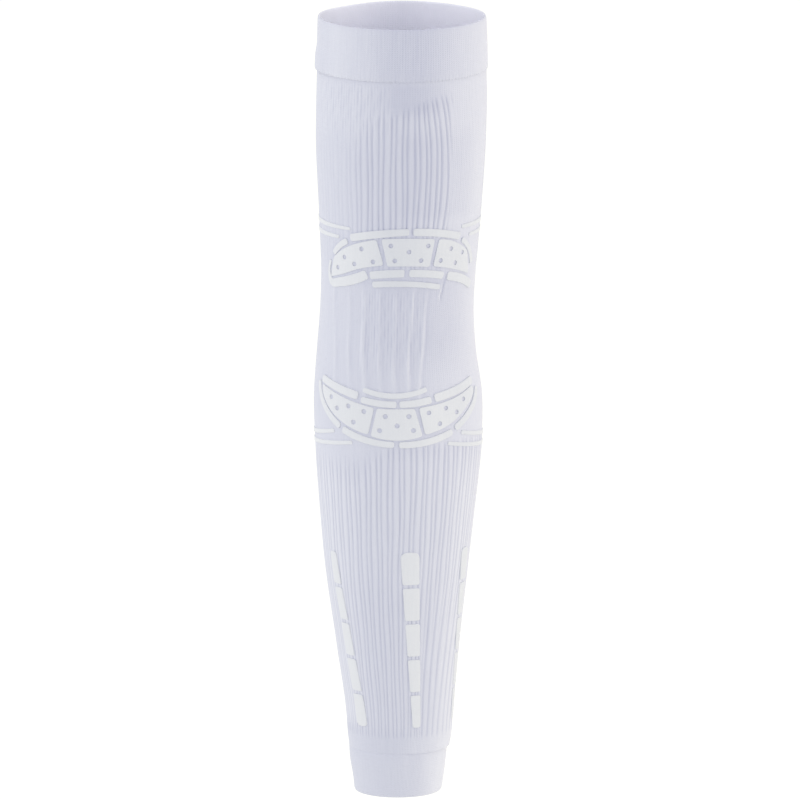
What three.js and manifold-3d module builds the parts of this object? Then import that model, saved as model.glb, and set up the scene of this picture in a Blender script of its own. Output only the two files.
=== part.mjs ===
// Arm compression sleeve: a ribbed knit tube with a folded band round the upper arm, a plain
// cuff at the wrist, and raised pads above the elbow, below it and down the forearm.
// Millimetres. The origin is the centre of the upper opening, +Z points up the arm, and -Y is
// the side with the elbow pads. An angle is in degrees from -Y, growing towards +X. A drop is
// the distance down from the upper opening, and a lift is the distance out from the arm.

import * as THREE from "three";
import Module from "manifold-3d";
import { mergeVertices } from "three/addons/utils/BufferGeometryUtils.js";

// Knit walls
const SLEEVE_LENGTH = 420;
const KNIT_WALL = 1.2;
const RIB_HEIGHT = 0.6;
const RIB_COUNT = 44;
const BODY_SEGMENTS = 2 * RIB_COUNT;
const PLAIN_SEGMENTS = 40;
const GAP = 0.3;

// Folded band round the upper opening: its lower lip covers the top of the body
const BAND_HEIGHT = 28;
const BAND_LIP = 5;
const BAND_WALL = 2.3;

// Wrist cuff: its top is tucked inside the body
const CUFF_HEIGHT = 24;
const CUFF_TUCK = 6;
const CUFF_WALL = 1.3;
const CUFF_ROLL = 1.6;

// Ribs: they start on a slant under the band, leave out the elbow, and end above the cuff
const RIB_START_LEFT = 45;
const RIB_START_RIGHT = 35;
const SLANT_LEFT_ANGLE = -9;
const SLANT_RIGHT_ANGLE = 27;
const UPPER_RIBS_END = 132;
const FOREARM_RIBS_START = 222;
const FOREARM_RIBS_END = 385;
const RIB_FADE = 5;
const PLAIN_SIDE_FROM = 38;
const PLAIN_SIDE_TO = 84;

// Slack ridges of the plain knit at the elbow
const RIDGE_ANGLES = [-53, -37, -25, -12, 0, 12, 21];
const RIDGE_HALF_ANGLE = 4;
const RIDGE_HEIGHT = 0.5;
const RIDGE_MIDDLE_DROP = 167;
const RIDGE_HALF_LENGTH = 34;

// Pads
const PAD_SEAT = KNIT_WALL + RIB_HEIGHT + GAP;
const PAD_THICKNESS = 0.8;
const PAD_CORNER = 0.8;
const PAD_STEP_ANGLE = 10;
const DOT_RADIUS = 1.25;
const DOT_SIDES = 6;

// The arm that fills the sleeve: half sizes and centre of its section at each drop
const ARM = [
  { drop: 0, halfWidth: 42.5, halfDepth: 43.4, shiftX: 0, shiftY: 0 },
  { drop: 12, halfWidth: 43.2, halfDepth: 44.1, shiftX: -0.3, shiftY: 0.1 },
  { drop: 28, halfWidth: 43.6, halfDepth: 44.6, shiftX: -0.5, shiftY: 0.3 },
  { drop: 68, halfWidth: 43.2, halfDepth: 44.6, shiftX: -0.7, shiftY: 0.8 },
  { drop: 106, halfWidth: 41.1, halfDepth: 43.0, shiftX: -1.2, shiftY: 1.4 },
  { drop: 139, halfWidth: 39.2, halfDepth: 41.4, shiftX: -2.1, shiftY: 1.8 },
  { drop: 158, halfWidth: 39.0, halfDepth: 41.0, shiftX: -2.9, shiftY: 2.0 },
  { drop: 180, halfWidth: 40.4, halfDepth: 41.2, shiftX: -3.1, shiftY: 2.0 },
  { drop: 205, halfWidth: 42.6, halfDepth: 42.0, shiftX: -2.7, shiftY: 1.8 },
  { drop: 230, halfWidth: 42.2, halfDepth: 41.6, shiftX: -2.4, shiftY: 1.4 },
  { drop: 264, halfWidth: 39.7, halfDepth: 38.6, shiftX: -2.6, shiftY: 0.8 },
  { drop: 296, halfWidth: 36.5, halfDepth: 35.2, shiftX: -3.0, shiftY: 0.4 },
  { drop: 340, halfWidth: 31.0, halfDepth: 29.6, shiftX: -2.4, shiftY: 0.1 },
  { drop: 384, halfWidth: 26.3, halfDepth: 24.6, shiftX: -1.4, shiftY: 0 },
  { drop: 398, halfWidth: 25.6, halfDepth: 23.8, shiftX: -1.6, shiftY: 0 },
  { drop: 420, halfWidth: 23.6, halfDepth: 21.8, shiftX: -2.3, shiftY: 0 },
];

// Drops of the rings of the body, down its outside and up its inside
const BODY_TOP = BAND_HEIGHT - BAND_LIP + GAP;
const BODY_END = SLEEVE_LENGTH - CUFF_HEIGHT;
const OUTSIDE_RINGS = [
  29, 35, 45, 62, 84, 106, 122, 138, 152, 168, 184, 200, 215, 229, 254, 282, 312, 342, 370, 380, 388,
];
const INSIDE_RINGS = [340, 296, 264, 230, 205, 180, 158, 135, 95];

// Strips: the points of a strip's middle line, each with its angle, drop and width there
const STRIPS = [
  { name: "upper_top_left", line: [[-37, 113.2, 3.6], [-16, 110, 3.6], [6.5, 108.5, 3.2]] },
  { name: "upper_top_right", line: [[10, 108.6, 3.6], [32, 110.4, 3.6], [48, 113.4, 3.6]] },
  { name: "upper_end_left", line: [[-40.5, 115.2, 2.8], [-48, 118.6, 2.8], [-54.5, 123.2, 2.6]] },
  { name: "upper_end_right", line: [[51, 115.6, 2.6], [60, 121, 2.6], [66, 130, 2.6]] },
  {
    name: "upper_base_left",
    line: [[-59, 128, 1.4], [-61.5, 134, 1.8], [-58.5, 139, 3.6], [-47, 138, 4.6], [-24, 132.1, 4.6]],
  },
  { name: "upper_base_mid_left", line: [[-21, 132.5, 3.8], [-9, 131.3, 3.8], [4, 130.9, 3.8]] },
  { name: "upper_base_mid_right", line: [[8, 130.9, 3.6], [21, 131.6, 3.6], [34.5, 133.4, 3.6]] },
  { name: "upper_base_right", line: [[38.5, 133.9, 4.2], [52, 136.6, 4.4], [67, 142, 4.2]] },
  { name: "upper_base_low", line: [[-19, 137.4, 3.0], [6, 136.7, 2.7], [32, 139.5, 2.4]] },
  { name: "lower_brow", line: [[-23.5, 194.2, 2.2], [-1, 197, 2.5], [21, 193.9, 2.2]] },
  { name: "lower_top_left", line: [[-63, 191.9, 3.6], [-48, 194.5, 3.8], [-28, 197.8, 4.0]] },
  { name: "lower_top_mid_left", line: [[-25, 199.6, 3.1], [-12, 201.2, 3.1], [-0.5, 201.6, 3.1]] },
  { name: "lower_top_mid_right", line: [[2, 201.6, 3.2], [12.5, 201.1, 3.3], [24, 199.7, 3.4]] },
  { name: "lower_top_right", line: [[27, 199, 3.9], [44, 196.6, 4.2], [63, 192.8, 4.2]] },
  {
    name: "lower_outer_left",
    line: [[-67.5, 194, 2.6], [-63.5, 202, 3.0], [-53.5, 210, 3.2], [-43, 215.4, 3.3]],
  },
  { name: "lower_base_left", line: [[-40, 216.8, 3.5], [-24, 221, 3.2], [-2.5, 223.3, 2.8]] },
  { name: "lower_base_right", line: [[1.5, 223.4, 2.9], [20, 222.4, 3.2], [40, 218.2, 3.3]] },
  {
    name: "lower_outer_right",
    line: [[43, 216.6, 3.3], [54, 211.4, 3.4], [64, 204.5, 3.2], [69, 197.5, 2.8]],
  },
  {
    name: "wrap_stripe_1",
    line: [[50, 108.4, 1.6], [70, 108.6, 2.0], [180, 108.6, 2.0], [292, 108.6, 2.0], [322, 108.4, 1.2]],
  },
  {
    name: "wrap_stripe_2",
    line: [[60, 113.8, 1.4], [72, 114, 1.8], [180, 114, 1.8], [298, 114, 1.8], [311, 113.8, 1.4]],
  },
  {
    name: "wrap_stripe_3",
    line: [[49, 220.2, 1.6], [75, 224, 1.9], [180, 225, 1.9], [286, 223.2, 1.9], [311, 219.6, 1.6]],
  },
  {
    name: "wrap_stripe_4",
    line: [[37, 225, 1.6], [73, 229.6, 1.9], [180, 230.8, 1.9], [287, 228.4, 1.9], [327, 224.4, 1.6]],
  },
];

// Dotted pads: the upper and lower edge of each as points of angle and drop, and its holes
const DOTTED_PADS = [
  {
    name: "upper_pad_left",
    top: [[-55, 126], [-46, 121], [-34, 116.6], [-17, 113]],
    bottom: [[-58.5, 136.2], [-46, 133.6], [-29, 129], [-11.5, 126.5]],
    dots: [[-28, 118.5], [-43, 124.2], [-34, 127.1], [-19, 125], [-50, 130.5]],
  },
  {
    name: "upper_pad_middle",
    top: [[-12.5, 112.6], [6.5, 112.2], [25.5, 113.2]],
    bottom: [[-8, 127], [7, 126.8], [22.5, 127.7]],
    dots: [[-6, 115.9], [21, 116.4], [7, 119.2], [-3, 124], [16, 124.1]],
  },
  {
    name: "upper_pad_right",
    top: [[29.5, 113.6], [43, 116], [58, 122.5]],
    bottom: [[26, 127.6], [43, 130.4], [61.5, 135]],
    dots: [[40, 119.3], [31.5, 125], [45, 127.5], [52, 122.6]],
  },
  {
    name: "lower_pad_left",
    top: [[-62, 195.2], [-47, 198.2], [-31, 201.4], [-16, 203.8]],
    bottom: [[-62, 198.6], [-53, 206.6], [-38, 213.7], [-20.5, 218]],
    dots: [[-51, 200.6], [-45, 206], [-35, 203.9], [-23, 205.9], [-31, 212.2]],
  },
  {
    name: "lower_pad_middle",
    top: [[-13.5, 204], [-1, 204.2], [12, 204]],
    bottom: [[-18, 218.8], [-0.5, 220.8], [17, 218.8]],
    dots: [[-8, 208], [8, 208], [0, 213], [-12, 215.7], [11, 215.6]],
  },
  {
    name: "lower_pad_right",
    top: [[15.5, 203.8], [32, 202.2], [47, 199.6], [62, 196]],
    bottom: [[19.5, 218], [37, 214], [52, 207], [64, 199]],
    dots: [[22, 206.6], [35, 205], [51, 201.8], [44, 208], [30, 213]],
  },
];

// Forearm columns: five pads each, leaning a little as they go down
const COLUMN_PADS = 5;
const COLUMN_GAP = 2.4;
const COLUMNS = [
  { name: "column_left", topDrop: 286, length: 95.5, topAngle: -58.5, endAngle: -44.5, topWidth: 5.0, endWidth: 6.4 },
  { name: "column_middle", topDrop: 283, length: 98, topAngle: 10.4, endAngle: 18.7, topWidth: 9.2, endWidth: 3.5 },
  { name: "column_right", topDrop: 285, length: 96, topAngle: 66.5, endAngle: 80, topWidth: 7.4, endWidth: 5.0 },
];

const manifold = await Module();
manifold.setup();

const knit = new THREE.MeshStandardMaterial({ color: "#d3d5e4", roughness: 0.95 });
const pad = new THREE.MeshStandardMaterial({ color: "#e6e7ea", roughness: 0.7 });

const armSpline = new THREE.CubicInterpolant(
  ARM.map((row) => row.drop),
  ARM.flatMap((row) => [row.halfWidth, row.halfDepth, row.shiftX, row.shiftY]),
  4,
);

// The point at an angle and a drop, lifted off the arm.
function pointOnArm(angle, drop, lift) {
  const [halfWidth, halfDepth, shiftX, shiftY] = armSpline.evaluate(drop);
  const turn = THREE.MathUtils.degToRad(angle);
  const x = shiftX + (halfWidth + lift) * Math.sin(turn);
  const y = shiftY - (halfDepth + lift) * Math.cos(turn);
  return new THREE.Vector3(x, y, -drop);
}

// Millimetres round the arm for one degree at a drop.
function arcOfDegree(drop) {
  const [halfWidth, halfDepth] = armSpline.evaluate(drop);
  return THREE.MathUtils.degToRad((halfWidth + halfDepth) / 2);
}

// How far the ribs stand out at an angle and a drop: 0 where the knit is plain, 1 where it is ribbed.
function ribShare(angle, drop) {
  const { smoothstep } = THREE.MathUtils;
  const along = THREE.MathUtils.clamp((angle - SLANT_LEFT_ANGLE) / (SLANT_RIGHT_ANGLE - SLANT_LEFT_ANGLE), 0, 1);
  const start = THREE.MathUtils.lerp(RIB_START_LEFT, RIB_START_RIGHT, along);
  const side = angle > PLAIN_SIDE_FROM && angle < PLAIN_SIDE_TO ? 0 : 1;
  const belowStart = smoothstep(drop, start - RIB_FADE, start);
  const aboveElbow = 1 - smoothstep(drop, UPPER_RIBS_END, UPPER_RIBS_END + RIB_FADE);
  const belowElbow = smoothstep(drop, FOREARM_RIBS_START, FOREARM_RIBS_START + RIB_FADE);
  const aboveCuff = 1 - smoothstep(drop, FOREARM_RIBS_END - RIB_FADE, FOREARM_RIBS_END);
  return Math.max(side * belowStart * aboveElbow, belowElbow * aboveCuff);
}

// Height of the slack ridges at the elbow.
function ridgeHeight(angle, drop) {
  const length = Math.max(0, 1 - ((drop - RIDGE_MIDDLE_DROP) / RIDGE_HALF_LENGTH) ** 2);
  const nearest = Math.min(...RIDGE_ANGLES.map((ridge) => Math.abs(angle - ridge)));
  return RIDGE_HEIGHT * length * Math.max(0, 1 - nearest / RIDGE_HALF_ANGLE);
}

// Lift of the outside of the body: ribs where it is ribbed, half their height where it is plain.
function bodyLift(angle, drop) {
  const wave = 0.5 + 0.5 * Math.cos(THREE.MathUtils.degToRad(RIB_COUNT * angle));
  const rib = THREE.MathUtils.lerp(0.5, wave, ribShare(angle, drop));
  return KNIT_WALL + RIB_HEIGHT * rib + ridgeHeight(angle, drop);
}

// A ring of wall round the arm. The profile is a closed loop of lifts and drops, up the outside
// and down the inside, and a lift may be a function of the angle and the drop.
function ringOfWall(profile, segments) {
  const loop = [...profile, profile[0]];
  const outline = loop.map((point) => new THREE.Vector2(1, -point.drop));
  const geometry = new THREE.LatheGeometry(outline, segments);
  const position = geometry.getAttribute("position");
  for (let turn = 0; turn <= segments; turn += 1) {
    const whole = (360 * (turn % segments)) / segments;
    const angle = whole > 180 ? whole - 360 : whole;
    loop.forEach(({ drop, lift }, row) => {
      const out = typeof lift === "function" ? lift(angle, drop) : lift;
      const { x, y, z } = pointOnArm(angle, drop, out);
      position.setXYZ(turn * loop.length + row, x, y, z);
    });
  }
  return geometry;
}

// A thin patch on the arm. The edges give its top and bottom, as angle and drop, at a share of
// its length. Its first and last steps are short, and its corners are cut there.
function patchOnArm(edges, length, stepsAlong, stepsAcross) {
  const geometry = new THREE.BoxGeometry(1, 1, 1, stepsAlong, stepsAcross, 1);
  const position = geometry.getAttribute("position");
  const short = PAD_CORNER / length;
  for (let index = 0; index < position.count; index += 1) {
    const step = Math.round((position.getX(index) + 0.5) * stepsAlong);
    const middle = short + ((1 - 2 * short) * (step - 1)) / (stepsAlong - 2);
    const atEnd = step === 0 || step === stepsAlong;
    const along = atEnd ? step / stepsAlong : middle;
    const { top, bottom } = edges(along);
    const width = Math.hypot((top.x - bottom.x) * arcOfDegree(top.y), top.y - bottom.y);
    const cut = atEnd ? Math.min(PAD_CORNER / width, 0.3) : 0;
    const across = THREE.MathUtils.lerp(cut, 1 - cut, 0.5 - position.getY(index));
    const place = new THREE.Vector2().lerpVectors(top, bottom, across);
    const lift = position.getZ(index) > 0 ? PAD_SEAT + PAD_THICKNESS : PAD_SEAT;
    const { x, y, z } = pointOnArm(place.x, place.y, lift);
    position.setXYZ(index, x, y, z);
  }
  return geometry;
}

// A strip of given width along a line of angles and drops.
function strip({ line }) {
  const curve = new THREE.CatmullRomCurve3(line.map((point) => new THREE.Vector3(...point)));
  const reach = curve.getLength();
  const edges = (along) => {
    const { x: angle, y: drop, z: width } = curve.getPointAt(along);
    const heading = curve.getTangentAt(along);
    const arc = arcOfDegree(drop);
    const aside = new THREE.Vector2(heading.y, -heading.x * arc).setLength(width / 2);
    return {
      top: new THREE.Vector2(angle + aside.x / arc, drop + aside.y),
      bottom: new THREE.Vector2(angle - aside.x / arc, drop - aside.y),
    };
  };
  return patchOnArm(edges, reach * arcOfDegree(line[0][1]), Math.ceil(reach / PAD_STEP_ANGLE) + 2, 1);
}

// A pad between two edges.
function padBetween({ top, bottom }) {
  const upper = new THREE.SplineCurve(top.map((point) => new THREE.Vector2(...point)));
  const lower = new THREE.SplineCurve(bottom.map((point) => new THREE.Vector2(...point)));
  const turn = Math.max(upper.getLength(), lower.getLength());
  const edges = (along) => ({ top: upper.getPoint(along), bottom: lower.getPoint(along) });
  return patchOnArm(edges, turn * arcOfDegree(top[0][1]), Math.ceil(turn / PAD_STEP_ANGLE) + 2, 2);
}

// A geometry as a solid that can be cut.
function solidOf(geometry) {
  const bare = new THREE.BufferGeometry();
  bare.setAttribute("position", geometry.getAttribute("position"));
  bare.setIndex(geometry.index);
  const merged = mergeVertices(bare, 1e-4);
  return new manifold.Manifold(
    new manifold.Mesh({
      numProp: 3,
      vertProperties: new Float32Array(merged.getAttribute("position").array),
      triVerts: new Uint32Array(merged.index.array),
    }),
  );
}

function geometryOf(solid) {
  const { vertProperties, triVerts } = solid.getMesh();
  const geometry = new THREE.BufferGeometry();
  geometry.setAttribute("position", new THREE.BufferAttribute(new Float32Array(vertProperties), 3));
  geometry.setIndex(new THREE.BufferAttribute(new Uint32Array(triVerts), 1));
  return geometry;
}

// A round hole through a pad, square to the arm.
function holeAt([angle, drop]) {
  const foot = pointOnArm(angle, drop, PAD_SEAT);
  const outwards = pointOnArm(angle, drop, PAD_SEAT + 1).sub(foot).normalize();
  const geometry = new THREE.CylinderGeometry(DOT_RADIUS, DOT_RADIUS, 4 * PAD_THICKNESS, DOT_SIDES);
  geometry.applyQuaternion(new THREE.Quaternion().setFromUnitVectors(new THREE.Vector3(0, 1, 0), outwards));
  geometry.translate(foot.x, foot.y, foot.z);
  return solidOf(geometry);
}

function dottedPad(row) {
  const holes = row.dots.map(holeAt);
  return geometryOf(holes.reduce((solid, hole) => solid.subtract(hole), solidOf(padBetween(row))));
}

// One pad of a forearm column.
function columnPad(column, number) {
  const pitch = (column.length + COLUMN_GAP) / COLUMN_PADS;
  const acrossAt = (down) => {
    const share = down / column.length;
    const angle = THREE.MathUtils.lerp(column.topAngle, column.endAngle, share);
    const drop = column.topDrop + down;
    const half = THREE.MathUtils.lerp(column.topWidth, column.endWidth, share) / 2 / arcOfDegree(drop);
    return (along) => new THREE.Vector2(THREE.MathUtils.lerp(angle - half, angle + half, along), drop);
  };
  const top = acrossAt(number * pitch);
  const bottom = acrossAt((number + 1) * pitch - COLUMN_GAP);
  return patchOnArm((along) => ({ top: top(along), bottom: bottom(along) }), column.topWidth, 4, 1);
}

// Band: up the outside from the lip, over the rounded top, down the inside.
const bandProfile = [
  { lift: KNIT_WALL + GAP, drop: BAND_HEIGHT },
  { lift: BAND_WALL - 0.3, drop: BAND_HEIGHT },
  { lift: BAND_WALL, drop: BAND_HEIGHT - 1.2 },
  { lift: BAND_WALL - 0.1, drop: BAND_HEIGHT / 2 },
  { lift: BAND_WALL - 0.2, drop: 1 },
  { lift: BAND_WALL - 0.8, drop: 0 },
  { lift: 0.7, drop: 0 },
  { lift: 0, drop: 1 },
  { lift: 0, drop: BODY_TOP - GAP },
  { lift: KNIT_WALL + GAP, drop: BODY_TOP - GAP },
];

// Body: up the outside and down the inside.
const bodyProfile = [
  { lift: 0, drop: BODY_END },
  { lift: KNIT_WALL, drop: BODY_END },
  ...OUTSIDE_RINGS.toReversed().map((drop) => ({ lift: bodyLift, drop })),
  { lift: KNIT_WALL, drop: BAND_HEIGHT - 0.5 },
  { lift: KNIT_WALL, drop: BODY_TOP },
  { lift: 0, drop: BODY_TOP },
  ...INSIDE_RINGS.toReversed().map((drop) => ({ lift: 0, drop })),
];

// Cuff: up the outside and down the inside, rolled in at its end.
const cuffTop = BODY_END - CUFF_TUCK;
const cuffProfile = [
  { lift: -GAP - 0.7, drop: SLEEVE_LENGTH },
  { lift: -GAP - 0.2, drop: SLEEVE_LENGTH - 0.5 * CUFF_ROLL },
  { lift: -GAP, drop: SLEEVE_LENGTH - CUFF_ROLL },
  { lift: -GAP, drop: BODY_END + 0.5 * CUFF_HEIGHT },
  { lift: -GAP, drop: BODY_END },
  { lift: -GAP, drop: cuffTop },
  { lift: -GAP - CUFF_WALL, drop: cuffTop },
  { lift: -GAP - CUFF_WALL, drop: BODY_END + 0.5 * CUFF_HEIGHT },
  { lift: -GAP - CUFF_WALL, drop: SLEEVE_LENGTH - 0.5 * CUFF_ROLL },
];

const sleeve = new THREE.Group();
sleeve.name = "arm_compression_sleeve";

function add(name, geometry, material) {
  const mesh = new THREE.Mesh(geometry, material);
  mesh.name = name;
  sleeve.add(mesh);
}

add("upper_band", ringOfWall(bandProfile, PLAIN_SEGMENTS), knit);
add("sleeve_body", ringOfWall(bodyProfile, BODY_SEGMENTS), knit);
add("wrist_cuff", ringOfWall(cuffProfile, PLAIN_SEGMENTS), knit);

for (const row of STRIPS) {
  add(row.name, strip(row), pad);
}

for (const row of DOTTED_PADS) {
  add(row.name, dottedPad(row), pad);
}

for (const column of COLUMNS) {
  for (let number = 0; number < COLUMN_PADS; number += 1) {
    add(`${column.name}_${number + 1}`, columnPad(column, number), pad);
  }
}

export default sleeve;
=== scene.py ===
"""Looks of the knitted arm compression sleeve, in the frame of its solids.

An angle is in degrees from -Y, the side with the elbow pads, growing towards +X. A drop is the
distance down from the upper opening and a lift the distance out from the arm, in millimetres.
"""

import math

import bpy
import numpy as np
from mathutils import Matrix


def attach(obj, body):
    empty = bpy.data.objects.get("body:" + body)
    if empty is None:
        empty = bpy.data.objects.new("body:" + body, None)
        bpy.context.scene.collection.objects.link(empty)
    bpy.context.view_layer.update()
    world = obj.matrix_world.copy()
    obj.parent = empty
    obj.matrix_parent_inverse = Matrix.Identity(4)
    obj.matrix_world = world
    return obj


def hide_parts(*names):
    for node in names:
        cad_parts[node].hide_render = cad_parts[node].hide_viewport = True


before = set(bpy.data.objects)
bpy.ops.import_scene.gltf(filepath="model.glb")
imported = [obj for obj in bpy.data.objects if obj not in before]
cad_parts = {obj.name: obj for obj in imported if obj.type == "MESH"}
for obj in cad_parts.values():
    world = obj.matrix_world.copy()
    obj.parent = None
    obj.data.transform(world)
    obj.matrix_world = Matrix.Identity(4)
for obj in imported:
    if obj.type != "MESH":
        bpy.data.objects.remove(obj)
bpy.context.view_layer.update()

MM = 0.001

# Knit walls. A wall is made straight and round first, at the straight radius.
SLEEVE_LENGTH = 420
KNIT_WALL = 1.2
GAP = 0.3
BAND_HEIGHT = 28
BAND_LIP = 5
BAND_WALL = 2.3
CUFF_HEIGHT = 24
CUFF_TUCK = 6
CUFF_WALL = 1.3
CUFF_EXTRA = 0.8
BODY_TOP = BAND_HEIGHT - BAND_LIP + GAP
BODY_END = SLEEVE_LENGTH - CUFF_HEIGHT
STRAIGHT_RADIUS = 45
MEAN_RADIUS = 41

# Lift below which a point is on the inside of its wall
BODY_INSIDE = 0.6
BAND_INSIDE = 1.3
LIP_INSIDE = 1.6
CUFF_INSIDE = -0.9

# Ribs: each unit is a wide rib and a narrow one with a thin groove beside each
RIB_UNITS = 44
STEPS_IN_UNIT = 12
ROUND_STEPS = RIB_UNITS * STEPS_IN_UNIT
RIB_HEIGHT = 0.6
RIB_RISE = 0.15
WIDE_SHARE = 7 / 12
GROOVE_SHARE = 0.085
GROOVE_MEAN = 0.35
RIB_PHASE = 0.40
UPPER_RIBS_START = 46
UPPER_RIBS_END = (128, 136)
FOREARM_RIBS_START = 222
FOREARM_RIBS_END = (385, 388.5)

# The bow of the ribs about the drop where they stand widest, and their lean at the wrist, in degrees
WIDEST_DROP = 80
TOP_BOW = 7
END_BOW = 2.4
WRIST_LEAN = 8

# Other relief of the knit
FINE_LINE_DEPTH = 0.12
RIDGE_TOP = 146
RIDGE_LENGTH = 40
RIDGE_WIDTH = 1.7
SLACK_SWELL = 0.15
TUCK_TOP = (36.6, 134.5)
TUCK_SLANT = 0.32
TUCK_HALF = 0.8
TUCK_WIDTH = 0.65
TUCK_HEIGHT = 0.3
END_TAPER = 0.6
NIPS_IN_UNIT = 3
NIP_DEPTH = 0.45
BAND_BULGE = 0.7
LEFT_SAG = 0.7
RIGHT_SAG = 0.3

# Pads. A flat pad is drawn with the pad arc as millimetres for one degree round the arm.
PAD_SEAT = 1.15
PAD_TOP = 2.35
COLUMN_TOP = 2.2
STRIPE_TOP = 2.05
PAD_ARC = 0.75
PAD_GROWTH = 0.25
PAD_CORNER = 1.3
COLUMN_CORNER = 1.0
COLUMN_ROUND_END = 0.38
WIDEST_CORNER = 0.4
CORNER_SHARES = np.array([0, 0.06, 0.2, 0.42, 0.7])
OUTLINE_STEP = 1.6
HEADING_REACH = 0.1
PAD_ROUNDING = 0.35
ROUNDING_STEPS = 4
SHARP_EDGE = math.radians(40)
BEND_STEPS = (1.7, 3.0)
DOT_RADIUS = 1.25
DOT_SIDES = 24
PUNCH_DEPTH = 8
CHANNEL_LIFT = 1.88
CHANNEL_EDGE = 1.5
SMOOTH_EDGE = math.radians(50)

# Studio, in metres
FLOOR_LEVEL = -0.56
FLOOR_RADIUS = 4.0
FLOOR_SIDES = 96
WORLD_STRENGTH = 1.05
CAMERA_ELEVATION = math.radians(11.9)
CAMERA_DISTANCE = 6.0
CAMERA_TARGET = (-0.00106, 0.0, -0.2079)
CAMERA_LENS = 507.1
CAMERA_SENSOR = 36
CAMERA_REACH = 100

# Soft lights: place, size, watts and colour
SOFTBOXES = {
    "left softbox": ((-1.6, 0.2, -0.2), 1.4, 6.0, "#fffff0"),
    "right softbox": ((1.5, 0.0, -0.25), 1.4, 9.5, "#fff0c8"),
}

# The arm that fills the sleeve: drop, half width, half depth and centre of its section
ARM = np.array(
    [
        (0, 42.5, 43.4, 0.0, 0.0),
        (12, 42.8, 44.1, 0.1, 0.1),
        (28, 43.2, 44.6, -0.1, 0.3),
        (68, 43.2, 44.6, -0.7, 0.8),
        (106, 41.1, 43.0, -1.2, 1.4),
        (139, 39.2, 41.4, -2.1, 1.8),
        (158, 39.0, 41.0, -2.9, 2.0),
        (180, 40.4, 41.2, -3.1, 2.0),
        (205, 42.6, 42.0, -2.7, 1.8),
        (230, 42.2, 41.6, -2.4, 1.4),
        (264, 39.7, 38.6, -2.6, 0.8),
        (296, 36.5, 35.2, -3.0, 0.4),
        (340, 31.0, 29.6, -2.4, 0.1),
        (384, 26.3, 24.6, -1.4, 0.0),
        (398, 25.6, 23.8, -1.6, 0.0),
        (420, 23.6, 21.8, -2.3, 0.0),
    ]
)

# How much fuller the cloth stands on the right side: drop and distance
FULLER_RIGHT = np.array(
    [
        (0, 0.0),
        (110, 0.2),
        (158, 0.4),
        (180, 0.5),
        (205, 1.2),
        (230, 1.1),
        (250, 0.6),
        (268, 0.2),
        (340, 0.4),
        (420, 0.3),
    ]
)

# How deep the grooves are: drop and depth
GROOVE_DEPTHS = np.array([(150, 0.5), (200, 0.4), (270, 0.4), (360, 0.26)])

# How much the grooves darken, painted shade with some deeper yarn colour: drop and share
GROOVE_PAINTED_SHADE = np.array([(150, 0.76), (230, 0.76), (280, 0.74), (340, 0.68), (380, 0.54)])

# How much painted light turns the inside of the walls whiter round the arm: angle and share
INSIDE_PAINTED_LIGHT = np.array(
    [
        (-180, 0.77),
        (-160, 0.89),
        (-146, 0.98),
        (-130, 0.93),
        (-113, 0.7),
        (-97, 0.65),
        (97, 0.65),
        (113, 0.84),
        (129, 0.98),
        (145, 1.0),
        (159, 0.98),
        (180, 0.77),
    ]
)

# Rings of the outside of the body, closer where its relief changes: first drop, end and step
BODY_RINGS = [
    (BODY_TOP, 33, 2.0),
    (33, 48, 1.1),
    (48, 104, 3.2),
    (104, 142, 2.2),
    (142, 190, 2.8),
    (190, 230, 2.2),
    (230, 378, 3.2),
    (378, 389.5, 1.2),
]
LAST_RINGS = [390.5, 392, 393.5, 395, BODY_END - 0.4]
INSIDE_RINGS = [380, 355, 330, 300, 270, 240, 220, 200, 180, 160, 140, 115, 85, 55]

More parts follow.
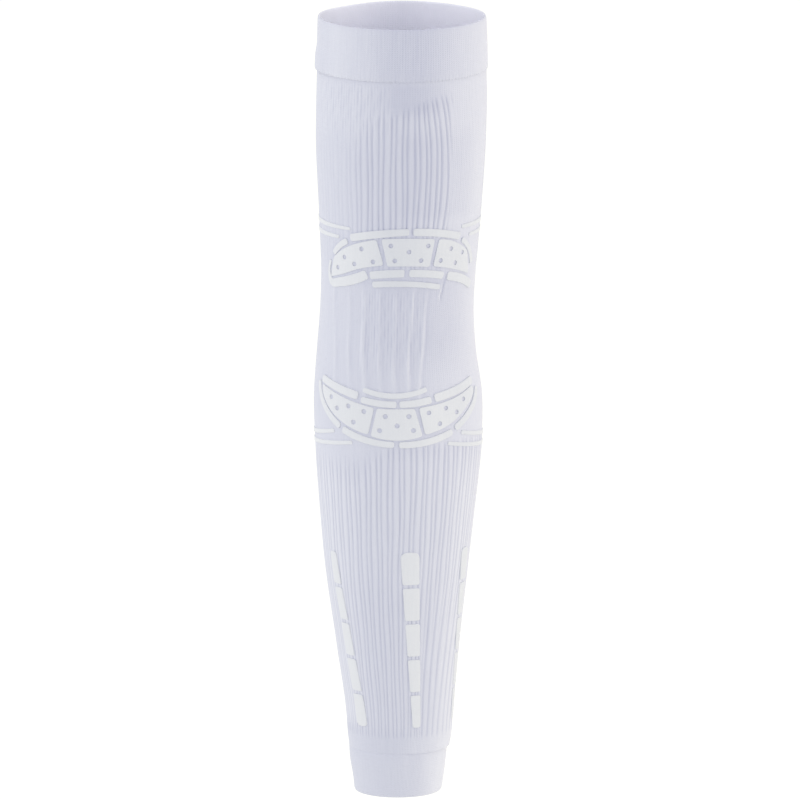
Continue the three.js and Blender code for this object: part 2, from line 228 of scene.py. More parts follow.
# Strips: angle, drop and width at the points of each middle line
STRIPS = {
    "upper_top_left": [(-37, 113.2, 3.6), (-16, 110, 3.6), (6.5, 108.5, 3.2)],
    "upper_top_right": [(10, 108.6, 3.6), (32, 110.4, 3.6), (48, 113.4, 3.6)],
    "upper_end_left": [(-40.5, 115.2, 2.8), (-48, 118.6, 2.8), (-54.5, 123.2, 2.6)],
    "upper_end_right": [(51, 115.6, 2.6), (60, 121, 2.6), (66, 130, 2.6)],
    "upper_base_left": [
        (-59, 128, 1.4),
        (-61.5, 134, 1.8),
        (-58.5, 139, 3.6),
        (-47, 138, 4.6),
        (-24, 132.1, 4.6),
    ],
    "upper_base_mid_left": [(-21, 132.5, 3.8), (-9, 131.3, 3.8), (4, 130.9, 3.8)],
    "upper_base_mid_right": [(8, 130.9, 3.6), (21, 131.6, 3.6), (34.5, 133.4, 3.6)],
    "upper_base_right": [(38.5, 133.9, 4.2), (52, 136.6, 4.4), (67, 142, 4.2)],
    "upper_base_low": [(-19, 137.4, 3.0), (6, 136.7, 2.7), (32, 139.5, 2.4)],
    "lower_brow": [(-23.5, 194.2, 2.2), (-1, 197, 2.5), (21, 193.9, 2.2)],
    "lower_top_left": [(-63, 191.9, 3.6), (-48, 194.5, 3.8), (-28, 197.8, 4.0)],
    "lower_top_mid_left": [(-25, 199.6, 3.1), (-12, 201.2, 3.1), (-0.5, 201.6, 3.1)],
    "lower_top_mid_right": [(2, 201.6, 3.2), (12.5, 201.1, 3.3), (24, 199.7, 3.4)],
    "lower_top_right": [(27, 199, 3.9), (44, 196.6, 4.2), (63, 192.8, 4.2)],
    "lower_outer_left": [(-67.5, 194, 2.6), (-63.5, 202, 3.0), (-53.5, 210, 3.2), (-43, 215.4, 3.3)],
    "lower_base_left": [(-40, 216.8, 3.5), (-24, 221, 3.2), (-2.5, 223.3, 2.8)],
    "lower_base_right": [(1.5, 223.4, 2.9), (20, 222.4, 3.2), (40, 218.2, 3.3)],
    "lower_outer_right": [(43, 216.6, 3.3), (54, 211.4, 3.4), (64, 204.5, 3.2), (69, 197.5, 2.8)],
    "wrap_stripe_1": [
        (50, 108.4, 1.6),
        (70, 108.6, 2.0),
        (180, 108.6, 2.0),
        (292, 108.6, 2.0),
        (322, 108.4, 1.2),
    ],
    "wrap_stripe_2": [
        (60, 113.8, 1.4),
        (72, 114, 1.8),
        (180, 114, 1.8),
        (298, 114, 1.8),
        (311, 113.8, 1.4),
    ],
    "wrap_stripe_3": [
        (49, 219.6, 1.6),
        (75, 223.4, 1.9),
        (180, 224.2, 1.9),
        (286, 222.2, 1.9),
        (311, 218.6, 1.6),
    ],
    "wrap_stripe_4": [
        (37, 224.3, 1.6),
        (73, 228.9, 1.9),
        (180, 229.9, 1.9),
        (287, 227.4, 1.9),
        (327, 223.4, 1.6),
    ],
}

# Dotted pads: angle and drop along the upper and lower edge, and of the round holes
DOTTED_PADS = {
    "upper_pad_left": {
        "top": [(-55, 126), (-46, 121), (-34, 116.6), (-17, 113)],
        "bottom": [(-58.5, 136.2), (-46, 133.6), (-29, 129), (-11.5, 126.5)],
        "dots": [(-28, 118.5), (-43, 124.2), (-34, 127.1), (-19, 125), (-50, 130.5)],
    },
    "upper_pad_middle": {
        "top": [(-12.5, 112.6), (6.5, 112.2), (25.5, 113.2)],
        "bottom": [(-8, 127), (7, 126.8), (22.5, 127.7)],
        "dots": [(-6, 115.9), (21, 116.4), (7, 119.2), (-3, 124), (16, 124.1)],
    },
    "upper_pad_right": {
        "top": [(29.5, 113.6), (43, 116), (58, 122.5)],
        "bottom": [(26, 127.6), (43, 130.4), (61.5, 135)],
        "dots": [(40, 119.3), (31.5, 125), (45, 127.5), (52, 122.6)],
    },
    "lower_pad_left": {
        "top": [(-62, 195.2), (-47, 198.2), (-31, 201.4), (-16, 203.8)],
        "bottom": [(-62, 198.6), (-53, 206.6), (-38, 213.7), (-20.5, 218)],
        "dots": [(-51, 200.6), (-45, 206), (-35, 203.9), (-23, 205.9), (-31, 212.2)],
    },
    "lower_pad_middle": {
        "top": [(-13.5, 204), (-1, 204.2), (12, 204)],
        "bottom": [(-18, 218.8), (-0.5, 220.8), (17, 218.8)],
        "dots": [(-8, 208), (8, 208), (0, 213), (-12, 215.7), (11, 215.6)],
    },
    "lower_pad_right": {
        "top": [(15.5, 203.8), (32, 202.2), (47, 199.6), (62, 196)],
        "bottom": [(19.5, 218), (37, 214), (52, 207), (64, 199)],
        "dots": [(22, 206.6), (35, 205), (51, 201.8), (44, 208), (30, 213)],
    },
}

# Forearm columns of pads: top drop, length, angle at the top and end, width at the top and end,
# and lift of the face of the last pad
COLUMN_PADS = 5
COLUMN_GAP = 2.4
COLUMNS = {
    "column_left": (286, 95.5, -58.5, -44.5, 5.0, 6.4, COLUMN_TOP),
    "column_middle": (283, 98, 10.4, 18.7, 9.2, 3.5, COLUMN_TOP),
    "column_right": (285, 96, 66.5, 80, 7.4, 5.0, 1.95),
}

# Slack ridges of the plain knit at the elbow: angle at their top and at their end, and height
RIDGES = [
    (-55, -50, 0.35),
    (-39, -36, 0.45),
    (-26, -24, 0.7),
    (-14, -12, 0.6),
    (-2, -2, 0.6),
    (11, 8, 0.95),
    (21.5, 17, 0.95),
]


# Curves


def smooth_curve(points, share):
    """Rows on a smooth curve through rows of points, at shares of the way from first to last."""
    points = np.asarray(points, float)
    knots = np.linspace(0, 1, len(points))
    return smooth_table(knots, points, np.asarray(share, float))


def smooth_table(knots, rows, at):
    """Rows of a table on a smooth curve through its knots."""
    slope = np.gradient(rows, knots, axis=0, edge_order=2 if len(knots) > 2 else 1)
    low = np.clip(np.searchsorted(knots, at, side="right") - 1, 0, len(knots) - 2)
    span = knots[low + 1] - knots[low]
    t = (at - knots[low]) / span
    t, span = t[..., None], span[..., None]
    return (
        (2 * t**3 - 3 * t**2 + 1) * rows[low]
        + (t**3 - 2 * t**2 + t) * span * slope[low]
        + (3 * t**2 - 2 * t**3) * rows[low + 1]
        + (t**3 - t**2) * span * slope[low + 1]
    )


def on_arm(angle, drop, lift):
    """Points in metres on the arm, lifted off it."""
    sections = smooth_table(ARM[:, 0], ARM[:, 1:], drop)
    half_width, half_depth, shift_x, shift_y = np.moveaxis(sections, -1, 0)
    turn = np.radians(angle)
    fuller = np.interp(drop, *FULLER_RIGHT.T) * np.clip(np.sin(turn), 0, 1) ** 3
    x = shift_x + (half_width + lift) * np.sin(turn) + fuller
    y = shift_y - (half_depth + lift) * np.cos(turn)
    return np.stack([x, y, -drop], axis=-1) * MM


def arc_of_degree(drop):
    """Millimetres round the arm for one degree at a drop."""
    rows = smooth_table(ARM[:, 0], ARM[:, 1:3], np.asarray(drop, float))
    return np.radians(rows.mean(axis=-1))


def step_between(value, low, high):
    """0 below low, 1 above high, smooth between."""
    t = np.clip((value - low) / (high - low), 0, 1)
    return t * t * (3 - 2 * t)


def window(value, start, full, fade, end):
    """0 below start, 1 from full to fade and 0 above end, smooth between."""
    return step_between(value, start, full) * (1 - step_between(value, fade, end))


def soft_peak(distance, width):
    """1 at no distance, falling softly to both sides."""
    return np.exp(-((distance / width) ** 2))


# Ribs, ridges and channels of the body


def rib_share(angle, drop):
    """How strongly the knit is ribbed: on the upper arm below a slanted start, and on the forearm."""
    left = window(-angle, 14, 40, 120, 160)
    right = np.clip((angle + 9) / 36, 0, 1) * (1 - step_between(angle, 110, 160))
    start = UPPER_RIBS_START - 10 * right + 8 * left
    fine = 0.22 * step_between(drop, 29, 36) * window(-angle, 6, 18, 110, 150)
    upper = np.maximum(step_between(drop, start - 3, start + 4 + 10 * left), fine)
    plain_side = 0.92 * window(angle, 34, 38, 80, 88)
    light_side = 0.74 * window(-angle, 18, 45, 80, 100)
    upper = upper * (1 - plain_side) * (1 - light_side) * (1 - step_between(drop, *UPPER_RIBS_END))
    late = window(-angle, 0, 30, 90, 120)
    start = FOREARM_RIBS_START + 6 * late
    forearm = window(drop, start, start + 5 + 10 * late, *FOREARM_RIBS_END)
    return np.maximum(upper, forearm)


def rib_angle(angle, drop):
    """Angle with the sway of the ribs taken off: they bow on the upper arm and lean in at the wrist."""
    above = np.clip((WIDEST_DROP - drop) / 44, 0, 1.2) ** 2
    below = np.clip((drop - WIDEST_DROP) / 30, 0, 1.5) ** 2
    bow = (TOP_BOW * above + END_BOW * below) * (1 - step_between(drop, 150, 200))
    bow = bow * window(angle, 2, 30, 60, 90)
    lean = WRIST_LEAN * window(angle, 8, 40, 70, 100) * step_between(drop, 290, 395)
    waver = 0.25 * np.sin(drop / 9.0 + angle / 5.0) + 0.25 * np.sin(drop / 23.0 - angle / 3.0)
    return angle + bow + lean + waver


def groove_depth(angle, drop):
    """1 at the bottom of the thin grooves between ribs, 0 on the ribs.

    At the right of the wrist the two ribs of a unit run into one, with wider grooves.
    """
    unit = (rib_angle(angle, drop) / 360 * RIB_UNITS + RIB_PHASE) % 1
    joined = window(angle, 18, 30, 100, 140) * step_between(drop, 290, 345)
    first = soft_peak(np.minimum(unit, 1 - unit), GROOVE_SHARE * (1 + joined))
    second = soft_peak(unit - WIDE_SHARE, GROOVE_SHARE) * (1 - joined)
    uneven = 0.86 + 0.14 * np.sin(angle * 1.1 + drop / 31.0) * np.sin(angle / 2.3 - drop / 17.0)
    return (first + second) * uneven


def ridge_height(angle, drop):
    """Height of the soft slack ridges at the elbow, which waver and rise and fall along their way."""
    along = np.clip((drop - RIDGE_TOP) / RIDGE_LENGTH, -0.3, 1.4)
    ridges = np.zeros_like(angle)
    for top_angle, end_angle, height in RIDGES:
        middle = top_angle + (end_angle - top_angle) * along + 0.6 * np.sin(drop / 7.0 + top_angle)
        uneven = 0.75 + 0.25 * np.sin(drop / 6.0 + 2 * top_angle)
        ridges = np.maximum(ridges, height * uneven * soft_peak(angle - middle, RIDGE_WIDTH))
    return ridges * window(drop, 136, 148, 192, 202)


def tuck(angle, drop):
    """A short tuck below the right end of the upper pads: 1 on its fold, -1 in the groove beside it."""
    middle = TUCK_TOP[0] - TUCK_SLANT * (drop - TUCK_TOP[1])
    fold = soft_peak(angle - middle + TUCK_HALF, TUCK_WIDTH) * step_between(drop, 138, 141)
    groove = soft_peak(angle - middle - TUCK_HALF, TUCK_WIDTH) * step_between(drop, 133, 136)
    return (fold - groove) * (1 - step_between(drop, 144.5, 148.5))


def channel_share(angle, drop):
    """1 in the channels between the pads, which form an arch above the elbow and a bowl below it."""
    from_middle = ((angle - 5) / 60) ** 2
    arch_top = 109.5 + 9.7 * from_middle
    arch_end = 137 + 4.5 * from_middle
    arch = window(drop, arch_top, arch_top + CHANNEL_EDGE, arch_end - CHANNEL_EDGE, arch_end)
    arch = arch * window(angle, -60, -58, 62, 64)
    bowl_top = 199.5 - 7 * (angle / 61) ** 2
    bowl_end = 223 - 21 * np.abs(angle / 64) ** 2.4
    bowl = window(drop, bowl_top, bowl_top + CHANNEL_EDGE, bowl_end - CHANNEL_EDGE, bowl_end)
    bowl = bowl * window(angle, -66, -63, 63, 66)
    return np.maximum(arch, bowl)


def fine_lines(angle, drop):
    """Thin broken lines down the plain knit, from 0 to 1."""
    lines = np.sin(angle * 2.6 + 0.8 * np.sin(drop / 7.0) + np.sin(angle / 3.1))
    broken = 0.5 + 0.5 * np.sin(drop / 2.7 + angle * 1.3) * np.sin(drop / 5.3 - angle / 1.9)
    return np.clip(lines, 0, 1) * broken


def fine_share(angle, drop):
    """Where the thin lines show: under the band on the left, and in the slack knit at the elbow."""
    under_band = window(drop, 28.5, 31, 50, 70) * window(-angle, 4, 12, 62, 80)
    slack = window(drop, 139, 144, 172, 194) * window(angle, -34, -22, 16, 24)
    return np.maximum(under_band, slack)


def body_lift(angle, drop):
    """Lift of the outside of the body."""
    under_band = 1 - step_between(drop, BAND_HEIGHT, BAND_HEIGHT + 1.5)
    at_end = step_between(drop, 388, BODY_END)
    channel = channel_share(angle, drop)
    depth = np.interp(drop, *GROOVE_DEPTHS.T) * rib_share(angle, drop)
    ribs = RIB_HEIGHT / 2 + RIB_RISE - depth * (groove_depth(angle, drop) - GROOVE_MEAN)
    lines = FINE_LINE_DEPTH * fine_lines(angle, drop) * fine_share(angle, drop)
    ridges = ridge_height(angle, drop) + TUCK_HEIGHT * tuck(angle, drop)
    slack = SLACK_SWELL * np.sin(np.radians(angle * 5) + drop / 19) * np.sin(drop / 27 + 1)
    slack = slack * window(drop, 140, 155, 185, 200)
    relief = ribs - lines + ridges + slack - END_TAPER * at_end
    lift = KNIT_WALL + relief * (1 - under_band)
    return lift * (1 - channel) + CHANNEL_LIFT * channel


def body_shade(angle, drop):
    """How dark the yarn looks: darker in grooves, lines and channels, beside ridges and where it is slack.

    The fine lines are in the knit; the rest is painted shade and light. Painted shade darkens the grooves,
    the channels, the sides of the ridges, the slack knit at the elbow, the knit under the band, the upper
    arm and the plain end. Painted highlights lighten the ridges and the tuck, and painted light the front
    and the sides of the forearm.
    """
    channels = channel_share(angle, drop)
    # Painted shade in the grooves, with some deeper yarn colour there, less in the channels
    grooves = groove_depth(angle, drop) * rib_share(angle, drop) * np.interp(drop, *GROOVE_PAINTED_SHADE.T)
    grooves = grooves * (1 - 0.4 * channels)
    lines = (0.6 * fine_lines(angle, drop) - 0.15) * fine_share(angle, drop)
    # Painted highlights on the ridges and the tuck's fold, painted shadow beside the ridges and in its
    # groove
    ridges = 0.3 * ridge_height(angle - 2.8, drop) - 0.32 * ridge_height(angle, drop)
    ridges = ridges - 0.7 * tuck(angle, drop)
    # Painted shade on the slack knit of the elbow, under the band, on the upper arm and at the plain end
    slack = 0.26 * window(drop, 130, 140, 166, 194) * window(angle, -40, -2, 38, 80)
    under_band = 0.38 * window(drop, 27, 31, 40, 50) * window(angle, -26, 2, 10, 42)
    upper = 0.15 * window(drop, 50, 62, 98, 106) * window(angle, -8, 8, 48, 66)
    plain_end = 0.14 * step_between(drop, 380, 390) * window(angle, -150, -110, 0, 18)
    # Painted light on the front of the forearm, weaker lower down
    start = FOREARM_RIBS_START + 14 * step_between(-angle, 8, 35)
    front = 0.14 * window(drop, start, start + 14, 376, 390) * window(angle, -52, -32, 22, 38)
    front = front * (1 - 0.7 * step_between(drop, 284, 316))
    # Painted light on both sides of the forearm, stronger on the left except near its end
    on_left = 0.32 - 0.26 * step_between(drop, 374, 386)
    painted_side_light = window(np.abs(angle), 25, 60, 110, 140) * np.where(angle < 0, on_left, 0.2)
    painted_side_light = painted_side_light * step_between(drop, 225, 250)
    tone = 0.3 + slack + under_band + upper + plain_end - front - painted_side_light
    # Painted shade in the channels between the pads
    return tone + grooves + lines + ridges + 0.15 * channels


# Making and finishing pieces


def deselect_all():
    if bpy.context.object and bpy.context.object.mode != "OBJECT":
        bpy.ops.object.mode_set(mode="OBJECT")
    bpy.ops.object.select_all(action="DESELECT")


def points_of(mesh):
    points = np.empty(len(mesh.vertices) * 3)
    mesh.vertices.foreach_get("co", points)
    return points.reshape(-1, 3)


def move_points(mesh, points):
    mesh.vertices.foreach_set("co", np.ascontiguousarray(points, dtype=float).ravel())
    mesh.update()


def corner_points(mesh):
    """The number of the point at each corner of each face."""
    corners = np.empty(len(mesh.loops), dtype=int)
    mesh.loops.foreach_get("vertex_index", corners)
    return corners


def set_map(mesh, places):
    """Places on the map, one for each corner of each face."""
    mesh.uv_layers[0].data.foreach_set("uv", places.ravel())


def keep_value(mesh, name, values):
    """A number for each point that a material can read."""
    made = mesh.attributes.new(name, "FLOAT", "POINT")
    made.data.foreach_set("value", np.ascontiguousarray(values, dtype=np.float32))


def apply_modifier(piece, kind, **settings):
    bpy.context.view_layer.objects.active = piece
    made = piece.modifiers.new(kind.lower(), kind)
    for key, value in settings.items():
        setattr(made, key, value)
    bpy.ops.object.modifier_apply(modifier=made.name)


def straight_wall(name, profile, segments):
    """A straight round wall: a circle extruded ring by ring round a loop of lifts and drops."""
    deselect_all()
    lift, drop = profile[0]
    radius = (STRAIGHT_RADIUS + lift) * MM
    bpy.ops.mesh.primitive_circle_add(vertices=segments, radius=radius, location=(0, 0, -drop * MM))
    wall = bpy.context.object
    wall.name = name
    bpy.ops.object.transform_apply(location=True)
    bpy.ops.object.mode_set(mode="EDIT")
    bpy.ops.mesh.select_mode(type="EDGE")
    bpy.ops.mesh.select_all(action="SELECT")
    for next_lift, next_drop in profile[1:]:
        fall = (drop - next_drop) * MM
        bpy.ops.mesh.extrude_edges_move(TRANSFORM_OT_translate={"value": (0, 0, fall)})
        if next_lift != lift:
            grow = (STRAIGHT_RADIUS + next_lift) / (STRAIGHT_RADIUS + lift)
            bpy.ops.transform.resize(value=(grow, grow, 1), center_override=(0, 0, 0))
        lift, drop = next_lift, next_drop
    bpy.ops.mesh.select_all(action="DESELECT")
    bpy.ops.mesh.select_non_manifold()
    bpy.ops.mesh.bridge_edge_loops()
    bpy.ops.mesh.select_all(action="SELECT")
    bpy.ops.mesh.normals_make_consistent(inside=False)
    bpy.ops.object.mode_set(mode="OBJECT")
    return wall


def map_round(mesh, angle, drop):
    """A map in millimetres: round the arm at its mean girth, and down it. The seam is at the back."""
    corners = corner_points(mesh)
    starts = np.empty(len(mesh.polygons), dtype=int)
    mesh.polygons.foreach_get("loop_start", starts)
    totals = np.empty(len(mesh.polygons), dtype=int)
    mesh.polygons.foreach_get("loop_total", totals)
    face = np.repeat(np.arange(len(starts)), totals)
    corner_angle = angle[corners]
    low = np.minimum.reduceat(corner_angle, starts)[face]
    high = np.maximum.reduceat(corner_angle, starts)[face]
    corner_angle = np.where((high - low > 180) & (corner_angle < 0), corner_angle + 360, corner_angle)
    set_map(mesh, np.stack([corner_angle * math.radians(MEAN_RADIUS), -drop[corners]], axis=-1))


def wall_on_arm(name, profile, segments, inside_below, shape_of, shade_of):
    """A knit wall on the arm. Functions give the drop and lift of its points, and how dark its yarn looks
    with painted shade.
    """
    wall = straight_wall(name, profile, segments)
    mesh = wall.data
    x, y, z = points_of(mesh).T / MM
    angle = np.degrees(np.arctan2(x, -y))
    drop = -z
    lift = np.hypot(x, y) - STRAIGHT_RADIUS
    # Painted light on the inside of the wall, and painted shade over its yarn
    keep_value(mesh, "inside", (lift < inside_below) * np.interp(angle, *INSIDE_PAINTED_LIGHT.T))
    keep_value(mesh, "shade", shade_of(angle, drop))
    map_round(mesh, angle, drop)
    drop, lift = shape_of(angle, drop, lift)
    move_points(mesh, on_arm(angle, drop, lift))
    return wall


def strip_edges(line):
    """The two edges of a strip along its middle line, as a function of the share of its length."""
    points = np.array(line, float)
    steps = np.hypot(np.diff(points[:, 0]) * PAD_ARC, np.diff(points[:, 1]))
    knots = np.concatenate([[0], np.cumsum(steps)])

    def edges(share):
        along = share * knots[-1]
        middle = smooth_table(knots, points, along)
        ahead = smooth_table(knots, points, along + HEADING_REACH)
        behind = smooth_table(knots, points, along - HEADING_REACH)
        heading = (ahead - behind)[:, :2] * (PAD_ARC, 1)
        heading /= np.linalg.norm(heading, axis=1, keepdims=True)
        aside = np.stack([heading[:, 1] / PAD_ARC, -heading[:, 0]], axis=-1) * middle[:, 2:] / 2
        return middle[:, :2] + aside, middle[:, :2] - aside

    return edges, knots[-1]


def dotted_edges(row):
    """The upper and lower edge of a dotted pad, as a function of the share of its length."""

    def edges(share):
        return smooth_curve(row["top"], share), smooth_curve(row["bottom"], share)

    return edges, (row["bottom"][-1][0] - row["top"][0][0]) * PAD_ARC


def column_edges(column, number):
    """The upper and lower edge of one pad of a column, as a function of the share of its width."""
    top_drop, length, top_angle, end_angle, top_width, end_width = column[:6]
    pitch = (length + COLUMN_GAP) / COLUMN_PADS

    def edge(down, share):
        part = down / length
        middle = top_angle + (end_angle - top_angle) * part
        half = (top_width + (end_width - top_width) * part) / 2 / arc_of_degree(top_drop + down)
        return np.stack([middle + (2 * share - 1) * half, np.full_like(share, top_drop + down)], axis=-1)

    def edges(share):
        return edge(number * pitch, share), edge((number + 1) * pitch - COLUMN_GAP, share)

    return edges, top_width + (end_width - top_width) * (number + 0.5) / COLUMN_PADS


def flat_pad(name, edges, length, top_corner=PAD_CORNER, end_corner=PAD_CORNER):
    """A flat pad between two edges with rounded corners, its arc and drop as metres in X and Y.

    Points of the outline are close together in the corners and even between them.
    """
    corner = max(top_corner, end_corner)
    close = corner * CORNER_SHARES
    between = np.linspace(corner, length - corner, max(3, round(length / OUTLINE_STEP)))
    along = np.concatenate([close, between, length - close[::-1]])
    along = (along - length / 2) * (1 + 2 * PAD_GROWTH / length) + length / 2
    top, bottom = edges(along / length)
    width = np.hypot((bottom - top)[:, 0] * PAD_ARC, (bottom - top)[:, 1])
    from_end = np.minimum(along, length - along) + PAD_GROWTH

    def inset(radius):
        radius = np.minimum(radius, WIDEST_CORNER * width)
        rounding = radius - np.sqrt(np.maximum(radius**2 - np.maximum(radius - from_end, 0) ** 2, 0))
        return rounding - PAD_GROWTH

    upper = top + (bottom - top) * (inset(top_corner) / width)[:, None]
    lower = bottom + (top - bottom) * (inset(end_corner) / width)[:, None]
    outline = np.concatenate([lower, upper[::-1]])
    deselect_all()
    bpy.ops.mesh.primitive_circle_add(vertices=len(outline), radius=length * MM, fill_type="NGON")
    piece = bpy.context.object
    piece.name = name
    flat = np.stack([outline[:, 0] * PAD_ARC, -outline[:, 1], np.zeros(len(outline))], axis=-1)
    move_points(piece.data, flat * MM)
    return piece


def punch_dots(piece, dots):
    """Cuts the round holes of a flat pad."""
    cutters = []
    size = {"vertices": DOT_SIDES, "radius": DOT_RADIUS * MM, "depth": PUNCH_DEPTH * MM}
    for angle, drop in dots:
        deselect_all()
        place = (angle * PAD_ARC * MM, -drop * MM, 0)
        bpy.ops.mesh.primitive_cylinder_add(location=place, **size)
        cutters.append(bpy.context.object)
    deselect_all()
    for cutter in cutters:
        cutter.select_set(True)
    bpy.context.view_layer.objects.active = cutters[0]
    bpy.ops.object.join()
    punch = bpy.context.object
    apply_modifier(piece, "BOOLEAN", object=punch, operation="DIFFERENCE", solver="EXACT")
    bpy.data.objects.remove(punch)


def cut_to_bend(piece):
    """Cuts lines across and along a flat pad, so that it can follow the arm."""
    low = points_of(piece.data).min(axis=0)
    high = points_of(piece.data).max(axis=0)
    deselect_all()
    piece.select_set(True)
    bpy.context.view_layer.objects.active = piece
    bpy.ops.object.mode_set(mode="EDIT")
    for axis, step in enumerate(BEND_STEPS):
        direction = np.eye(3)[axis]
        for place in np.arange(low[axis] + step / 2 * MM, high[axis], step * MM):
            bpy.ops.mesh.select_all(action="SELECT")
            bpy.ops.mesh.bisect(plane_co=direction * place, plane_no=direction)
    bpy.ops.object.mode_set(mode="OBJECT")


def pad_shade(angle, drop):
    """How dark the pads look with painted light and shade: lighter below the elbow and at the left,
    darker at the right.
    """
    side = (angle + 180) % 360 - 180
    in_front = 1 - step_between(np.abs(side), 110, 160)
    below_elbow = step_between(drop, 130, 200)
    lighter = np.maximum(below_elbow, step_between(-side, 2, 30) * in_front)
    right = step_between(side, 24, 50) * in_front * (0.17 + 0.21 * below_elbow)
    return 0.4 - 0.25 * lighter + right


def finish_pad(piece, dots=(), top=PAD_TOP):
    """Thickens a flat pad, cuts its holes, rounds its edges and lays it on the arm."""
    apply_modifier(piece, "SOLIDIFY", thickness=(top - PAD_SEAT) * MM, offset=1)
    if dots:
        punch_dots(piece, dots)
    rounding = {"width": PAD_ROUNDING * MM, "segments": ROUNDING_STEPS, "use_clamp_overlap": True}
    apply_modifier(piece, "BEVEL", limit_method="ANGLE", angle_limit=SHARP_EDGE, **rounding)
    cut_to_bend(piece)
    mesh = piece.data
    x, y, z = points_of(mesh).T / MM
    angle, drop = x / PAD_ARC, -y
    set_map(mesh, np.stack([x, y], axis=-1)[corner_points(mesh)])
    # Painted light and shade on the pads
    keep_value(mesh, "shade", pad_shade(angle, drop))
    move_points(mesh, on_arm(angle, drop, PAD_SEAT + z))


# Materials


def linear(hex_colour):
    """An sRGB hex colour as linear RGBA."""
    values = [int(hex_colour[i : i + 2], 16) / 255 for i in (1, 3, 5)]
    return tuple(v / 12.92 if v <= 0.04045 else ((v + 0.055) / 1.055) ** 2.4 for v in values) + (1.0,)


def add_node(tree, kind, settings=None, inputs=None):
    """Adds a node with its settings. An input is a value, or an output to link."""
    made = tree.nodes.new(kind)
    for key, value in (settings or {}).items():
        setattr(made, key, value)
    for key, value in (inputs or {}).items():
        if isinstance(value, bpy.types.NodeSocket):
            tree.links.new(value, made.inputs[key])
        else:
            made.inputs[key].default_value = value
    return made


def new_material(name):
    material = bpy.data.materials.new(name)
    material.use_nodes = True
    tree = material.node_tree
    tree.nodes.clear()
    return material, tree


def knit_material(name, yarn, shade, wale_mm, course_mm, depth_mm, roughness, inner=None):
    """Jersey knit: rows of V-shaped stitches, drawn a little coarse so that they show.

    The yarn darkens with the points' painted shade value, and turns to the inner colour, painted light,
    with their inside value.
    """
    leg_slant = 0.9
    wale_depth = 0.7
    # Streaks of uneven yarn are about 1 mm wide and 17 mm long
    streak_scale = (0.9, 0.06, 1.0)
    streak_swing = 0.3
    material, tree = new_material(name)
    spread = add_node(tree, "ShaderNodeUVMap").outputs[0]
    axes = add_node(tree, "ShaderNodeSeparateXYZ", inputs={0: spread})
    across, down = axes.outputs[0], axes.outputs[1]
    maths = "ShaderNodeMath"
    # The legs of a stitch lean to both sides of the middle of its column
    fold = add_node(tree, maths, {"operation": "PINGPONG"}, {0: across, 1: wale_mm / 2}).outputs[0]
    lean = {0: fold, 1: leg_slant, 2: down}
    slant = add_node(tree, maths, {"operation": "MULTIPLY_ADD"}, lean).outputs[0]
    leg = add_node(tree, maths, {"operation": "MULTIPLY"}, {0: slant, 1: math.tau / course_mm}).outputs[0]
    stitch = add_node(tree, maths, {"operation": "SINE"}, {0: leg}).outputs[0]
    column = add_node(tree, maths, {"operation": "MULTIPLY"}, {0: across, 1: math.tau / wale_mm}).outputs[0]
    wale = add_node(tree, maths, {"operation": "COSINE"}, {0: column}).outputs[0]
    sunk = {0: wale, 1: -wale_depth, 2: stitch}
    height = add_node(tree, maths, {"operation": "MULTIPLY_ADD"}, sunk).outputs[0]
    streaks = add_node(tree, "ShaderNodeMapping", inputs={"Vector": spread, "Scale": streak_scale})
    grain = {"Vector": streaks.outputs[0], "Scale": 1.0, "Detail": 3.0}
    noise = add_node(tree, "ShaderNodeTexNoise", inputs=grain)
    swing = {0: noise.outputs[0], 1: streak_swing, 2: -streak_swing / 2}
    uneven = add_node(tree, maths, {"operation": "MULTIPLY_ADD"}, swing).outputs[0]
    # The points' painted shade value
    depth = add_node(tree, "ShaderNodeAttribute", {"attribute_name": "shade"}).outputs["Fac"]
    dark = add_node(tree, maths, {"operation": "ADD"}, {0: depth, 1: uneven}).outputs[0]
    colour = add_node(
        tree,
        "ShaderNodeMix",
        {"data_type": "RGBA", "clamp_factor": True},
        {"Factor": dark, "A": linear(yarn), "B": linear(shade)},
    ).outputs["Result"]
    # Painted light: the inside of a wall turns to the whiter inner colour
    if inner:
        turned = add_node(tree, "ShaderNodeAttribute", {"attribute_name": "inside"})
        colour = add_node(
            tree,
            "ShaderNodeMix",
            {"data_type": "RGBA"},
            {"Factor": turned.outputs["Fac"], "A": colour, "B": linear(inner)},
        ).outputs["Result"]
    relief = {"Height": height, "Strength": 0.25, "Distance": depth_mm * MM}
    bump = add_node(tree, "ShaderNodeBump", inputs=relief)
    surface = add_node(
        tree,
        "ShaderNodeBsdfPrincipled",
        inputs={
            "Base Color": colour,
            "Roughness": roughness,
            "IOR": 1.45,
            "Specular IOR Level": 0.2,
            "Sheen Weight": 0.25,
            "Sheen Roughness": 0.5,
            "Normal": bump.outputs[0],
        },
    )
    add_node(tree, "ShaderNodeOutputMaterial", inputs={"Surface": surface.outputs[0]})
    return material


# Nylon and elastane jersey, knitted and heat set: matt lavender white, with a soft bloom of fibre at the
# edges. It darkens to a bluer colour with painted shade, and some deeper yarn colour, in the folds.
# Inside, painted light turns it whiter.
sleeve_knit = knit_material(
    "nylon elastane knit",
    "#d0d2df",
    "#b2b5ca",
    wale_mm=1.25,
    course_mm=1.0,
    depth_mm=0.15,
    roughness=0.92,
    inner="#f3f3fe",
)
# Dense spacer knit of the pads: a flat cool white, smoother than the sleeve, darkening to a bluer colour
# with painted shade
pad_knit = knit_material(
    "cushioned pad knit",
    "#d6d8df",
    "#c1c5d1",
    wale_mm=0.9,
    course_mm=0.8,
    depth_mm=0.1,
    roughness=0.85,
)


# The body, the band and the cuff. A profile is a loop of lifts and drops round the wall.

